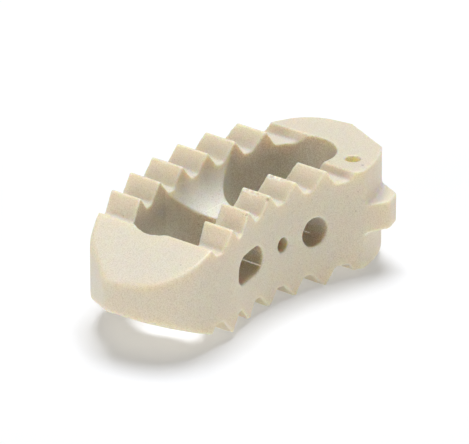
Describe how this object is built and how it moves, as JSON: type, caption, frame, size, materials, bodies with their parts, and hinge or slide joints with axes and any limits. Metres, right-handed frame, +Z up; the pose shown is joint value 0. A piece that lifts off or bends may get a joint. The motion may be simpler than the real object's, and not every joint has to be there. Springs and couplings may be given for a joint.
{
  "type": "spinal interbody cage",
  "caption": "Curved spinal interbody cage with toothed upper and lower rails, two graft windows divided by a strut, and a tapered nose.",
  "frame": {"origin": "under the middle of the cage, at the height of the lowest tooth tips", "axes": "+Z up from the lower rails to the upper rails, -X towards the tapered nose, -Y towards the hollow side"},
  "size_m": [0.0255, 0.0122, 0.0081],
  "materials": {
    "cage_body": "matte, fine machined grain, natural PEEK"
  },
  "bodies": {
    "root": {"cage_body": "cage_body"}
  },
  "joints": []
}
